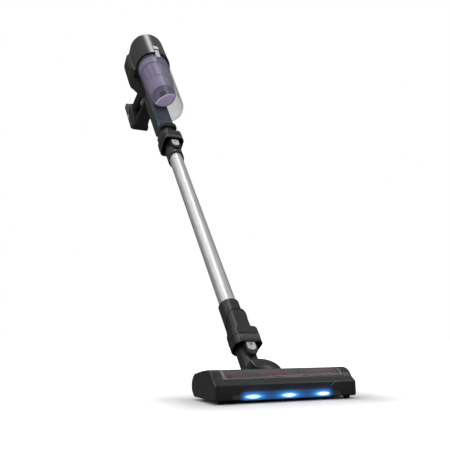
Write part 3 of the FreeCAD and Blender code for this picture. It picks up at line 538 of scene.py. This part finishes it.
def ribbon_faces(steps):
    """Faces of a closed strip whose cross-sections each have four points."""
    faces = []
    for i in range(steps):
        a, b = 4 * i, 4 * i + 4
        faces += [(a, a + 2, b + 2, b), (a + 1, b + 1, b + 3, a + 3)]
        faces += [(a, b, b + 1, a + 1), (a + 2, a + 3, b + 3, b + 2)]
    end = 4 * steps
    faces += [(0, 1, 3, 2), (end, end + 2, end + 3, end + 1)]
    return faces


def d_outline(half_w, front, back, r_front, r_back, steps=10):
    """Outline of a hood as (x, n) pairs: half width, front, back and corner radii in millimetres."""
    points = []
    corners = (
        (half_w, back, r_back, 0),
        (-half_w, back, r_back, 90),
        (-half_w, front, r_front, 180),
        (half_w, front, r_front, 270),
    )
    for cx, cy, r, start in corners:
        ox = cx - math.copysign(r, cx)
        oy = cy - r if cy == back else cy + r
        for i in range(steps + 1):
            angle = math.radians(start + 90.0 * i / steps)
            points.append((ox + r * math.cos(angle), oy + r * math.sin(angle)))
    return points


# brush axis and bristle rows, in millimetres
BRUSH_Y, BRUSH_Z = -32.0, 24.0
BRUSH_HALF = 101.0
ROW_HALF = 100.5
ROW_TWIST = 270.0
ROOT_R = 12.8
FIBRES = 6
FIBRE_HALF = 0.20


def on_brush(x, radius, angle):
    """Point round the brush axis; the angle runs forward from straight up."""
    y = BRUSH_Y - radius * math.sin(angle)
    return (x * MM, y * MM, (BRUSH_Z + radius * math.cos(angle)) * MM)


def tufts(name, start_deg, count, material, r1, spread):
    """One helical bristle row: tufts of thin tapered fibres standing on the brush core."""
    verts, faces = [], []
    for i in range(count):
        x = -ROW_HALF + 2.0 * ROW_HALF * (i + 0.5) / count
        turn = math.radians(ROW_TWIST) * (x + BRUSH_HALF) / (2.0 * BRUSH_HALF)
        base_angle = math.radians(start_deg) + turn
        for _ in range(FIBRES):
            angle = base_angle + random.uniform(-spread, spread)
            tip_angle = angle + random.uniform(-0.07, 0.07)
            x0 = x + random.uniform(-0.8, 0.8)
            x1 = max(-BRUSH_HALF, min(BRUSH_HALF, x0 + random.uniform(-0.9, 0.9)))
            tip_r = r1 - random.uniform(0.0, 0.7)
            root = (x0, ROOT_R, angle, FIBRE_HALF)
            tip = (x1, tip_r, tip_angle, FIBRE_HALF * 0.6)
            first = len(verts)
            for cx, radius, centre, size in (root, tip):
                for dx, da in ((-1, 0), (0, 1), (1, 0), (0, -1)):
                    verts.append(on_brush(cx + dx * size, radius, centre + da * size / radius))
            for k in range(4):
                after = (k + 1) % 4
                faces.append((first + k, first + after, first + 4 + after, first + 4 + k))
            faces.append((first + 4, first + 5, first + 6, first + 7))
    obj = new_mesh(name, verts, faces, material, smooth=False)
    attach(obj, "brush")
    return obj


for index, start in enumerate((0.0, 120.0, 240.0)):
    red = tufts("red_tufts_%d" % index, start, 230, MAT["bristle_red"], 22.4, 0.15)
    dark = tufts("dark_tufts_%d" % index, start + 60.0, 170, MAT["bristle_dark"], 21.9, 0.05)
    if index == 0:
        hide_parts("bristles_red")
        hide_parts("bristles_dark")


def arc_strip(name, x0, x1, deg0, deg1, radius):
    """Strip of the smoked window's border, laid on the arched skin round the brush axis."""
    steps = 14
    verts = []
    for i in range(steps + 1):
        angle = math.radians(deg0 + (deg1 - deg0) * i / steps - 90.0)
        for x in (x0, x1):
            verts += [on_brush(x, radius, angle), on_brush(x, radius - 0.5, angle)]
    obj = new_mesh(name, verts, ribbon_faces(steps), MAT["frame"])
    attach(obj, "floor_head")


arc_strip("window_border_left", -107.6, -99.5, 58.0, 150.5, 24.97)
arc_strip("window_border_right", 103.5, 107.6, 58.0, 150.5, 24.97)
arc_strip("window_border_front", -107.6, 107.6, 147.5, 151.0, 24.98)
arc_strip("window_border_rear", -107.6, 107.6, 57.5, 61.0, 24.98)

# shallow lamp panel on the front face, which leans back half a millimetre over its height
PANEL_LEFT = [(-85.0, 29.0), (-75.0, 22.9)]
PANEL_RIGHT = [(76.0, 22.9), (85.5, 28.6)]


def on_front_face(x, z):
    y = -65.0 + 0.5 * (z - 5.0) / 23.5 + 0.05
    return Vector((x * MM, y * MM, z * MM))


def panel_edge(name, points, material):
    bead(name, [on_front_face(x, z) for x, z in points], 0.30, material, "floor_head")


# edges of the lamp panel drawn as beads; the right one's light colour is a painted highlight
panel_edge("lamp_panel_edge", PANEL_LEFT, MAT["panel"])
panel_edge("lamp_panel_edge_highlight_right", PANEL_RIGHT, MAT["edge"])

# painted highlight: a fine light line round the edge of the barrel's lobe
BARREL_HIGHLIGHT = [
    (-8.9, 49.0, 60.1),
    (-11.1, 46.3, 60.4),
    (-13.0, 43.4, 60.4),
    (-14.7, 40.4, 60.1),
    (-16.1, 37.1, 59.4),
    (-17.1, 33.8, 58.3),
    (-17.5, 30.4, 56.8),
    (-17.2, 27.0, 54.8),
    (-16.1, 23.9, 52.6),
    (-14.1, 21.2, 50.3),
    (-11.3, 19.1, 48.2),
]
barrel_highlight_line = [Vector(point) * MM for point in BARREL_HIGHLIGHT]
bead("barrel_highlight_line", barrel_highlight_line, 0.4, MAT["edge"], "swivel_joint")


def seam(name, outline, s, body):
    """Dark groove round a hood at height s along the stick."""
    points = [on_stick(x, n, s) for x, n in outline]
    bead(name, points, 0.55, MAT["line"], body, closed=True)


def collar_arch():
    """Arched shoulder of the lower collar, on a plane that slopes 50 degrees down to the back."""
    arch = []
    for x, n in d_outline(21.0, -25.0, 20.4, 15.0, 20.3, 16):
        s = 129.0 - (n + 25.0) * math.tan(math.radians(50.0))
        if s > 86.0:
            arch.append((x, n, s))
    arch.sort(key=lambda q: math.atan2(q[0], -(q[1] + 10.0)))
    return [on_stick(x, n, s) for x, n, s in arch]


def ribs(name, count, pitch, n, low, high, body):
    """Ridges between the grooves of a hood, drawn as light beads: painted highlights."""
    for index in range(count):
        x = (index - (count - 1) / 2.0) * pitch
        ends = [on_stick(x, n, low), on_stick(x, n, high)]
        bead(name % index, ends, 0.5, MAT["rib"], body)


def recess_shade_plug(name, front, back, s, body):
    """Black plug in the round recess of a button's face: painted shade."""
    ends = [on_stick(0.0, front, s), on_stick(0.0, back, s)]
    bead(name, ends, 1.4, MAT["line"], body)


seam("hood_groove", d_outline(27.5, -31.0, 20.5, 13.0, 27.49), 67.6, "wand")
seam("bell_groove", d_outline(26.0, -32.0, 28.5, 12.0, 12.0), 717.2, "hand_unit")
bead("collar_arch", collar_arch(), 0.75, MAT["line"], "wand")
# painted highlights along the ridges of the hood and the bell
ribs("hood_rib_%02d", 14, 3.0, -30.95, 50.5, 65.5, "wand")
ribs("bell_rib_%02d", 12, 3.2, -31.95, 702.5, 715.5, "hand_unit")
# painted shade: black plugs fill the buttons' round recesses
recess_shade_plug("neck_button_eye", -28.06, -27.0, 44.6, "neck_release")
recess_shade_plug("wand_button_eye", -26.26, -25.4, 691.0, "wand_release")

# round the dust container's axis, in millimetres
CUP_N = -50.0
CUP_FOOT_R = 38.6
CUP_FOOT_S = 807.6
SEAT_FOOT_S = 806.0
SEAT_FOOT_R = 42.2
SEAT_TAPER = 4.5 / 230.0
SEAT_DEPTH = 38.0
SEAT_HALF_W = 22.0
PROUD = 0.05


def seat_rim_highlight():
    """Light line along the edge of the container's seat in the spine, a little proud of it: a painted
    highlight.
    """
    points = []
    for i in range(25):
        s = 808.0 + 9.0 * i
        r = SEAT_FOOT_R + (s - SEAT_FOOT_S) * SEAT_TAPER
        x = min(SEAT_HALF_W, math.sqrt(r * r - SEAT_DEPTH * SEAT_DEPTH))
        points.append(on_stick(-x - PROUD, CUP_N + math.sqrt(r * r - x * x) - PROUD, s))
    return points


def cup_foot():
    """Light line round the container's rounded foot, on the side that faces the spine: a painted
    highlight.
    """
    points = []
    for i in range(41):
        t = math.radians(5.0 + 170.0 * i / 40)
        x, depth = CUP_FOOT_R * math.cos(t), CUP_FOOT_R * math.sin(t)
        points.append(on_stick(x, CUP_N + depth, CUP_FOOT_S))
    return points


# painted highlights: light lines along the seat's edge and the container's foot
bead("seat_rim_highlight", seat_rim_highlight(), 0.60, MAT["cup_edge_highlight"], "hand_unit")
bead("cup_foot_highlight", cup_foot(), 0.60, MAT["cup_edge_highlight"], "container")

# lip across the cone's mouth: its plate glows as painted light, and its edge is a painted highlight
LIP_EDGE = [
    (29.5, -9.5),
    (23.0, -9.0),
    (16.5, -8.0),
    (10.5, -5.8),
    (4.8, -2.6),
    (-1.5, 3.0),
    (-7.5, 10.0),
    (-12.5, 17.5),
    (-15.5, 26.8),
]
LIP_S = 877.0
LIP_THICK = 0.7
LIP_R = 31.0
LIP_FIRST, LIP_SWEEP = -18.0, 138.0


def cone_lip():
    """Thin plate from the cone's wall to the lip's free edge."""
    steps = len(LIP_EDGE) - 1
    verts = []
    for i, free in enumerate(LIP_EDGE):
        t = math.radians(LIP_FIRST + LIP_SWEEP * i / steps)
        for x, depth in (free, (LIP_R * math.cos(t), LIP_R * math.sin(t))):
            verts.append(on_stick(x, CUP_N + depth, LIP_S))
            verts.append(on_stick(x, CUP_N + depth, LIP_S + LIP_THICK))
    lip = new_mesh("cone_lip", verts, ribbon_faces(steps), MAT["lip"], smooth=False)
    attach(lip, "container")


cone_lip()
# painted highlight: glowing light bead along the lip's free edge
lip_highlight_edge = [on_stick(x, CUP_N + depth, LIP_S) for x, depth in LIP_EDGE]
bead("cone_lip_highlight_edge", lip_highlight_edge, 0.7, MAT["lip_highlight_edge"], "container")

# ---- floor, light and camera -----------------------------------------------------------------------
FLOOR_SIZE = 16.0
# the middle of the floor lies behind the object, and its node coordinates start there
FLOOR_Y = 3.0
# middle and half size of the cleaner head's footprint, round which the floor's painted shadow lies
HEAD_Y = -0.0165
HEAD_HALF = (0.125, 0.0485)


def floor_material():
    """White floor, brighter further off, with a painted shadow under the head and round it."""
    n = Nodes("floor_white")
    n.base(n.ramp(n.noise(3.0, 3.0), [(0.3, (0.90, 0.90, 0.90)), (0.7, (0.93, 0.93, 0.93))]))
    n.rough(n.span(n.noise(20.0, 3.0), 0.3, 0.7, 0.65, 0.75))
    n.put(Emission_Color=(1.0, 1.0, 1.0, 1.0), Specular_IOR_Level=0.1)
    reach = n.add("ShaderNodeVectorMath", operation="DISTANCE")
    n.link(n.coord, reach.inputs[0])
    reach.inputs[1].default_value = (0.0, -FLOOR_Y, 0.0)
    # painted shadow: the glow is weaker near the object and falls to nothing at the head's footprint,
    # returning 0.12 m out
    far_glow = n.span(reach.outputs["Value"], 0.15, 0.9, 0.52, 1.12)
    parts = n.add("ShaderNodeSeparateXYZ")
    n.link(n.coord, parts.inputs[0])
    across = n.math("ABSOLUTE", parts.outputs["X"])
    along = n.math("ABSOLUTE", n.math("ADD", parts.outputs["Y"], FLOOR_Y - HEAD_Y))
    side = n.math("MAXIMUM", n.math("SUBTRACT", across, HEAD_HALF[0]), 0.0)
    deep = n.math("MAXIMUM", n.math("SUBTRACT", along, HEAD_HALF[1]), 0.0)
    square = n.math("ADD", n.math("MULTIPLY", side, side), n.math("MULTIPLY", deep, deep))
    painted_shadow_fade = n.span(n.math("SQRT", square), 0.0, 0.12, 0.0, 1.0)
    n.link(n.math("MULTIPLY", far_glow, painted_shadow_fade), n.bsdf.inputs["Emission Strength"])
    # the camera sees the white floor; the object is lit by a darker one
    path = n.add("ShaderNodeLightPath")
    dark = n.add("ShaderNodeBsdfDiffuse")
    dark.inputs["Color"].default_value = (0.16, 0.16, 0.17, 1.0)
    blend = n.add("ShaderNodeMixShader")
    n.link(path.outputs["Is Camera Ray"], blend.inputs[0])
    n.link(dark.outputs[0], blend.inputs[1])
    n.link(n.bsdf.outputs[0], blend.inputs[2])
    n.link(blend.outputs[0], n.out.inputs["Surface"])
    return n.mat


def studio_floor():
    half = FLOOR_SIZE / 2.0
    corners = [(-half, -half, 0.0), (half, -half, 0.0), (half, half, 0.0), (-half, half, 0.0)]
    floor = new_mesh("studio_floor", corners, [(0, 1, 2, 3)], floor_material(), smooth=False)
    floor.location = (0.0, FLOOR_Y, 0.0)


def studio_world():
    """White to the camera; a soft overhead glow with darker walls as the light it gives."""
    world = bpy.data.worlds.new("studio")
    world.use_nodes = True
    tree = world.node_tree
    background = tree.nodes["Background"]
    coord = tree.nodes.new("ShaderNodeTexCoord")
    parts = tree.nodes.new("ShaderNodeSeparateXYZ")
    tree.links.new(coord.outputs["Generated"], parts.inputs[0])
    glow = tree.nodes.new("ShaderNodeMapRange")
    glow.interpolation_type = "SMOOTHSTEP"
    for key, number in (("From Min", 0.1), ("From Max", 0.95), ("To Min", 0.10), ("To Max", 0.30)):
        glow.inputs[key].default_value = number
    tree.links.new(parts.outputs["Z"], glow.inputs["Value"])
    path = tree.nodes.new("ShaderNodeLightPath")
    mix = tree.nodes.new("ShaderNodeMix")
    mix.data_type = "FLOAT"
    tree.links.new(path.outputs["Is Camera Ray"], mix.inputs[0])
    tree.links.new(glow.outputs["Result"], mix.inputs[2])
    mix.inputs[3].default_value = 1.0
    background.inputs["Color"].default_value = (1.0, 1.0, 1.0, 1.0)
    tree.links.new(mix.outputs[0], background.inputs["Strength"])
    scene.world = world


# name, place, point it faces, width and length, watts
LIGHTS = (
    ("overhead_strip", (0.02, 1.00, 2.6), (0.0, 0.6, 0.6), (0.34, 1.7), 9.0),
    ("overhead_left", (-1.45, 0.70, 2.1), (-0.02, 0.5, 0.5), (0.60, 1.7), 4.0),
    ("overhead_front", (-0.75, -0.25, 2.3), (0.0, 0.1, 0.1), (0.5, 1.3), 7.0),
    ("left_box", (-2.4, -0.4, 1.2), (0.0, 0.45, 0.5), (0.7, 1.6), 17.0),
    ("right_box", (1.7, -0.9, 1.9), (0.0, 0.3, 0.4), (0.8, 1.4), 9.0),
    ("front_box", (-0.9, -2.0, 1.5), (0.0, 0.0, 0.15), (1.2, 0.6), 13.0),
)


def area_light(name, centre, target, size, watts):
    data = bpy.data.lights.new(name, "AREA")
    data.shape = "RECTANGLE"
    data.size, data.size_y = size
    data.energy = watts
    obj = bpy.data.objects.new(name, data)
    obj.location = centre
    aim = Vector(target) - Vector(centre)
    obj.rotation_euler = aim.to_track_quat("-Z", "Y").to_euler()
    scene.collection.objects.link(obj)


studio_floor()
studio_world()
for light in LIGHTS:
    area_light(*light)

camera_data = bpy.data.cameras.new("camera")
camera_data.lens = 48.98
camera_data.sensor_width = 36.0
camera = bpy.data.objects.new("camera", camera_data)
camera.location = (-0.4868, -0.9140, 0.1040)
camera.rotation_euler = (math.radians(100.03), 0.0, math.radians(-24.0))
scene.collection.objects.link(camera)
scene.camera = camera
scene.view_settings.view_transform = "Standard"
